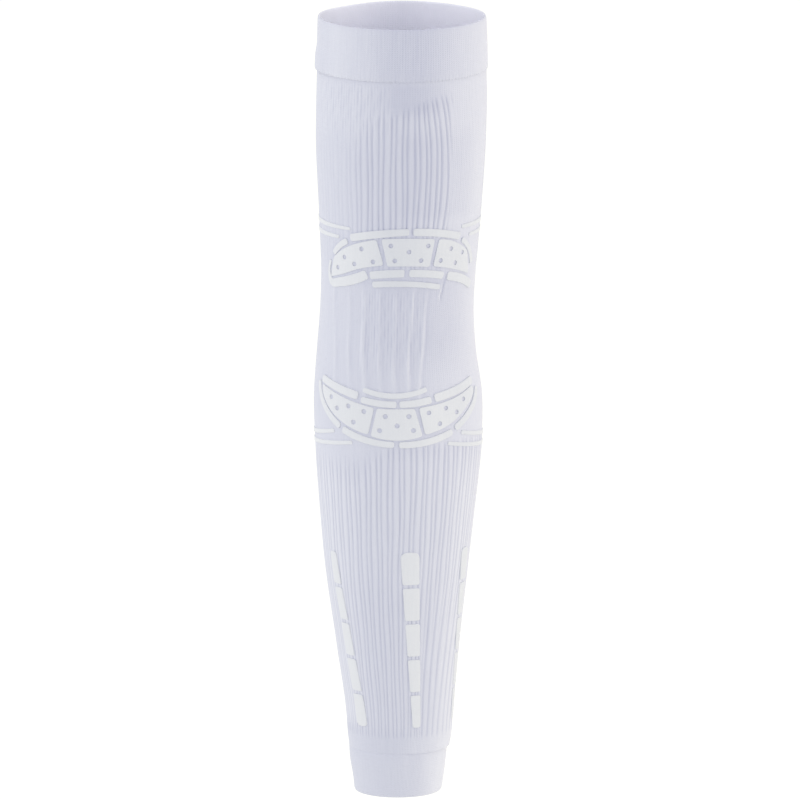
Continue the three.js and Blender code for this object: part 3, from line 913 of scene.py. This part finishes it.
body_rings = np.concatenate([np.arange(*rings) for rings in BODY_RINGS] + [LAST_RINGS])
body_profile = [(KNIT_WALL, drop) for drop in body_rings]
body_profile += [(KNIT_WALL - 0.2, BODY_END), (0.3, BODY_END), (0, BODY_END - 0.4)]
body_profile += [(0, drop) for drop in INSIDE_RINGS] + [(0, BODY_TOP)]


def body_shape(angle, drop, lift):
    """The outside gets its relief and the inside stays on the arm."""
    return drop, np.where(lift > BODY_INSIDE, body_lift(angle, drop) + lift - KNIT_WALL, lift)


body = wall_on_arm("sleeve_body_knit", body_profile, ROUND_STEPS, BODY_INSIDE, body_shape, body_shade)

lip_in = KNIT_WALL + GAP
lip_top = BODY_TOP - GAP
band_profile = [
    (lip_in, BAND_HEIGHT - 0.2),
    (lip_in + 0.2, BAND_HEIGHT),
    (BAND_WALL - 0.35, BAND_HEIGHT),
    (BAND_WALL - 0.1, BAND_HEIGHT - 0.3),
    (BAND_WALL, BAND_HEIGHT - 1.2),
]
band_profile += [(BAND_WALL - 0.1 * (1 - drop / BAND_HEIGHT), drop) for drop in np.arange(24, 2, -2.0)]
band_profile += [(2.1, 1.2), (1.95, 0.5), (1.7, 0.1), (1.5, 0), (1.25, 0.1), (1.05, 0.5), (0.9, 1.2)]
band_profile += [(0.6, 4), (0.2, 8), (0, 12), (0, 17), (0, lip_top), (lip_in, lip_top)]


def band_shape(angle, drop, lift):
    """Linking stitches nip the lower edge of the band, which stands out on the left. The rim sags."""
    nip = 0.5 + 0.5 * np.cos(np.radians(angle * RIB_UNITS * NIPS_IN_UNIT))
    nip = nip * NIP_DEPTH * step_between(drop, 26.4, 27.6) * (lift > LIP_INSIDE)
    bulge = BAND_BULGE * window(-angle, 40, 80, 100, 140) * step_between(drop, 14, 22)
    bulge = bulge * (lift > BAND_INSIDE)
    sag = np.where(angle < 0, LEFT_SAG, RIGHT_SAG) * soft_peak(np.abs(angle) - 135, 24)
    return drop + sag * (1 - step_between(drop, 0, 20)), lift - nip + bulge


def band_shade(angle, drop):
    """How dark the band looks: painted shade most in the middle of its front, painted light at the left,
    and fine lines in the knit.
    """
    # Painted shade in the middle of the front and a little right of it, painted light at the left
    middle = np.clip(np.cos(np.radians(angle)), 0, 1) ** 2
    left = window(-angle, 2, 26, 48, 70)
    right = window(angle, 0, 10, 20, 38)
    lines = fine_lines(angle, drop * 0.4) * window(angle, -50, -20, 12, 24)
    return 0.28 + 0.24 * middle - 0.27 * left + 0.08 * right + 0.25 * lines


band = wall_on_arm("upper_band_knit", band_profile, ROUND_STEPS, BAND_INSIDE, band_shape, band_shade)

cuff_top = BODY_END - CUFF_TUCK
cuff_out = -GAP
cuff_in = -GAP - CUFF_WALL
cuff_profile = [(cuff_out, cuff_top), (cuff_out, BODY_END - 2)]
cuff_profile += [(cuff_out, drop) for drop in np.arange(BODY_END - 0.5, SLEEVE_LENGTH - 2.4, 1.5)]
cuff_profile += [
    (cuff_out - 0.05, SLEEVE_LENGTH - 1.6),
    (cuff_out - 0.2, SLEEVE_LENGTH - 0.8),
    (cuff_out - 0.45, SLEEVE_LENGTH - 0.25),
    (cuff_out - 0.75, SLEEVE_LENGTH),
    (cuff_out - 1.05, SLEEVE_LENGTH - 0.2),
    (cuff_in, SLEEVE_LENGTH - 0.8),
]
cuff_profile += [(cuff_in, drop) for drop in np.arange(SLEEVE_LENGTH - 4, cuff_top, -4.0)]
cuff_profile += [(cuff_in, cuff_top)]


def cuff_shape(angle, drop, lift):
    """The cuff swells to the end of the body except on the right, and is a little longer than its solid."""
    swell = 1.33 - 0.5 * step_between(angle, 4, 13) - 0.83 * step_between(angle, 24, 50)
    swell = swell + (0.9 - swell) * step_between(np.abs(angle), 100, 140)
    swell = swell * window(drop, BODY_END - 2.5, BODY_END + 0.4, BODY_END + 4, SLEEVE_LENGTH - 4)
    longer = CUFF_EXTRA * step_between(drop, BODY_END, SLEEVE_LENGTH)
    return drop + longer, lift + swell * (lift > CUFF_INSIDE)


def cuff_shade(angle, drop):
    """How dark the cuff looks: painted light makes it lighter on the right, all the way down."""
    return 0.38 - 0.3 * window(angle, 20, 60, 110, 150)


cuff = wall_on_arm("wrist_cuff_knit", cuff_profile, ROUND_STEPS // 2, CUFF_INSIDE, cuff_shape, cuff_shade)

walls = {"sleeve_body": body, "upper_band": band, "wrist_cuff": cuff}


# The pads

pads = {}
for name, line in STRIPS.items():
    edges, length = strip_edges(line)
    pads[name] = flat_pad(name + "_knit", edges, length)
    finish_pad(pads[name], top=STRIPE_TOP if "stripe" in name else PAD_TOP)

for name, row in DOTTED_PADS.items():
    edges, length = dotted_edges(row)
    pads[name] = flat_pad(name + "_knit", edges, length)
    finish_pad(pads[name], row["dots"])

for name, column in COLUMNS.items():
    for number in range(COLUMN_PADS):
        edges, width = column_edges(column, number)
        top_corner = COLUMN_ROUND_END * width if number == 0 else COLUMN_CORNER
        end_corner = COLUMN_ROUND_END * width if number == COLUMN_PADS - 1 else COLUMN_CORNER
        node_name = f"{name}_{number + 1}"
        pads[node_name] = flat_pad(node_name + "_knit", edges, width, top_corner, end_corner)
        top = COLUMN_TOP + (column[-1] - COLUMN_TOP) * number / (COLUMN_PADS - 1)
        finish_pad(pads[node_name], top=top)

deselect_all()
for name, wall in walls.items():
    wall.data.materials.append(sleeve_knit)
    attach(wall, "root")
    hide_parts(name)
    wall.select_set(True)
for name, piece in pads.items():
    piece.data.materials.append(pad_knit)
    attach(piece, "root")
    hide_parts(name)
    piece.select_set(True)
bpy.context.view_layer.objects.active = body
bpy.ops.object.shade_smooth_by_angle(angle=SMOOTH_EDGE)
deselect_all()


# Floor, light and camera

# Matt studio paper: an even white that throws light back up
floor_material, tree = new_material("white studio floor")
floor_surface = add_node(tree, "ShaderNodeBsdfDiffuse", inputs={"Color": linear("#fffffa")})
add_node(tree, "ShaderNodeOutputMaterial", inputs={"Surface": floor_surface.outputs[0]})
deselect_all()
bpy.ops.mesh.primitive_circle_add(
    vertices=FLOOR_SIDES, radius=FLOOR_RADIUS, fill_type="NGON", location=(0, 0, FLOOR_LEVEL)
)
floor = bpy.context.object
floor.name = "floor"
bpy.ops.object.transform_apply(location=True)
floor.data.materials.append(floor_material)

world = bpy.data.worlds.new("white studio")
bpy.context.scene.world = world
world.use_nodes = True
background = world.node_tree.nodes["Background"]
background.inputs["Color"].default_value = (1, 1, 1, 1)
background.inputs["Strength"].default_value = WORLD_STRENGTH

for name, (place, size, watts, colour) in SOFTBOXES.items():
    deselect_all()
    bpy.ops.object.light_add(type="AREA", location=place)
    lamp = bpy.context.object
    lamp.name = name
    lamp.data.size = size
    lamp.data.energy = watts
    lamp.data.color = linear(colour)[:3]
    lamp.visible_camera = False
    aim = math.atan2(place[1], place[0])
    lamp.rotation_euler = (math.pi / 2, 0, aim + math.pi / 2)

camera_place = (
    CAMERA_TARGET[0],
    CAMERA_TARGET[1] - CAMERA_DISTANCE * math.cos(CAMERA_ELEVATION),
    CAMERA_TARGET[2] + CAMERA_DISTANCE * math.sin(CAMERA_ELEVATION),
)
bpy.ops.object.camera_add(location=camera_place, rotation=(math.pi / 2 - CAMERA_ELEVATION, 0, 0))
camera = bpy.context.object
camera.data.lens = CAMERA_LENS
camera.data.sensor_width = CAMERA_SENSOR
camera.data.clip_end = CAMERA_REACH
bpy.context.scene.camera = camera
bpy.context.scene.view_settings.view_transform = "Standard"
